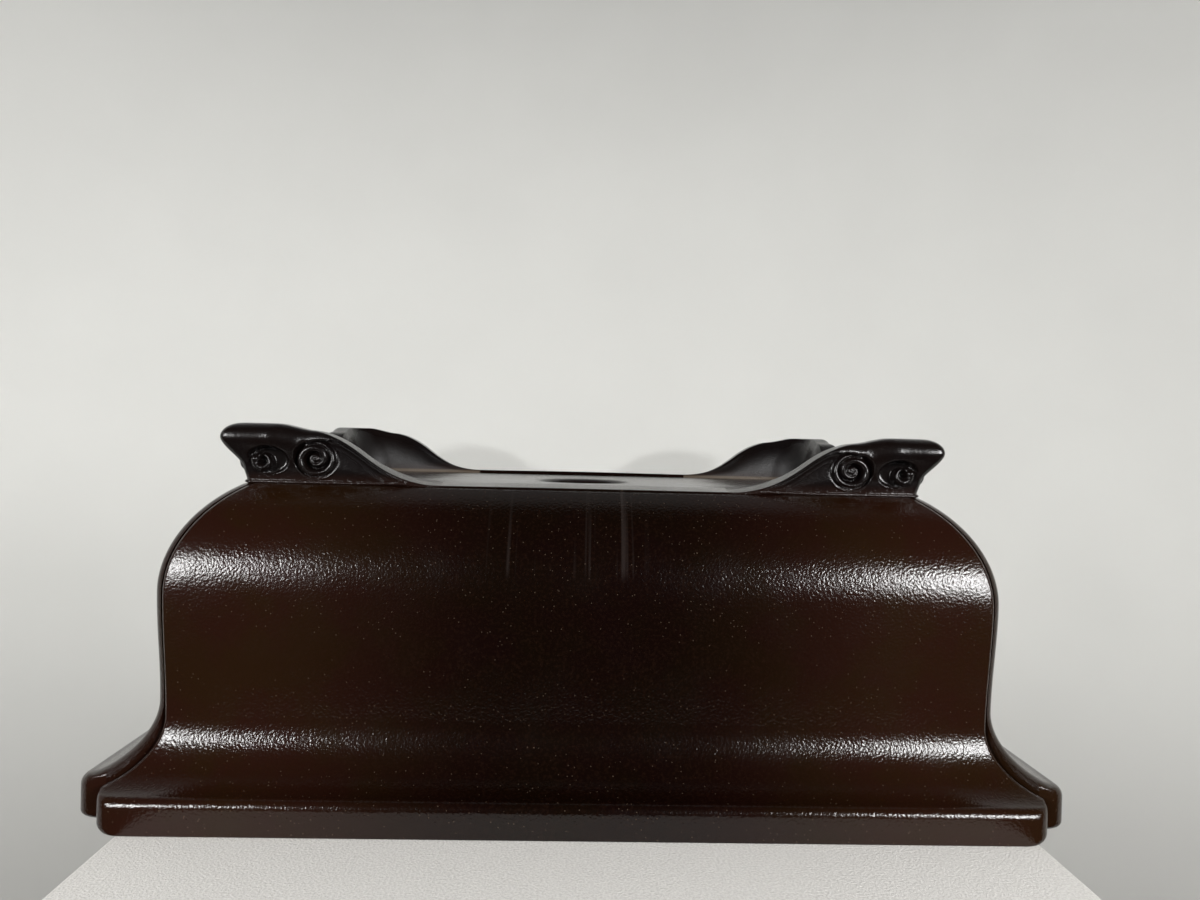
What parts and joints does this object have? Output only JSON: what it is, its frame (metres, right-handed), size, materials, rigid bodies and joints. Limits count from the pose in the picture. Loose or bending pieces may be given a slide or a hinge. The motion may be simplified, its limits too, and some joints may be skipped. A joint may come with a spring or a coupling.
{
  "type": "rectangular bonsai pot",
  "caption": "Rectangular stoneware bonsai pot with ogee walls, stepped corners, an outward lip, a drained floor and scroll feet.",
  "frame": {"origin": "centre of the rim plane; the pot stands upside down on its rim, as pictured, and a half turn about X puts it on its feet", "axes": "+X along the long side, +Y from the front long side to the back one, +Z from the rim to the soles of the feet"},
  "size_m": [0.45, 0.318, 0.1795],
  "materials": {
    "glazed_clay": "dark chocolate brown stoneware, satin gloss with a fine orange peel",
    "foot_clay": "the same clay on the moulded feet, duller and rougher",
    "bare_clay": "bare brown clay in the inner corners"
  },
  "bodies": {
    "root": {"floor_slab": "glazed_clay", "wall_front": "glazed_clay", "wall_back": "glazed_clay", "wall_right": "glazed_clay", "wall_left": "glazed_clay", "lip_front": "glazed_clay", "lip_back": "glazed_clay", "lip_right": "glazed_clay", "lip_left": "glazed_clay", "base_rail_front": "glazed_clay", "base_rail_back": "glazed_clay", "base_rail_right": "glazed_clay", "base_rail_left": "glazed_clay", "foot_front_right": "foot_clay", "foot_front_left": "foot_clay", "foot_back_right": "foot_clay", "foot_back_left": "foot_clay", "seam_coil_front": "bare_clay", "seam_coil_back": "bare_clay", "seam_coil_right": "bare_clay", "seam_coil_left": "bare_clay", "corner_coil_front_right": "bare_clay", "corner_coil_front_left": "bare_clay", "corner_coil_back_right": "bare_clay", "corner_coil_back_left": "bare_clay"}
  },
  "joints": []
}
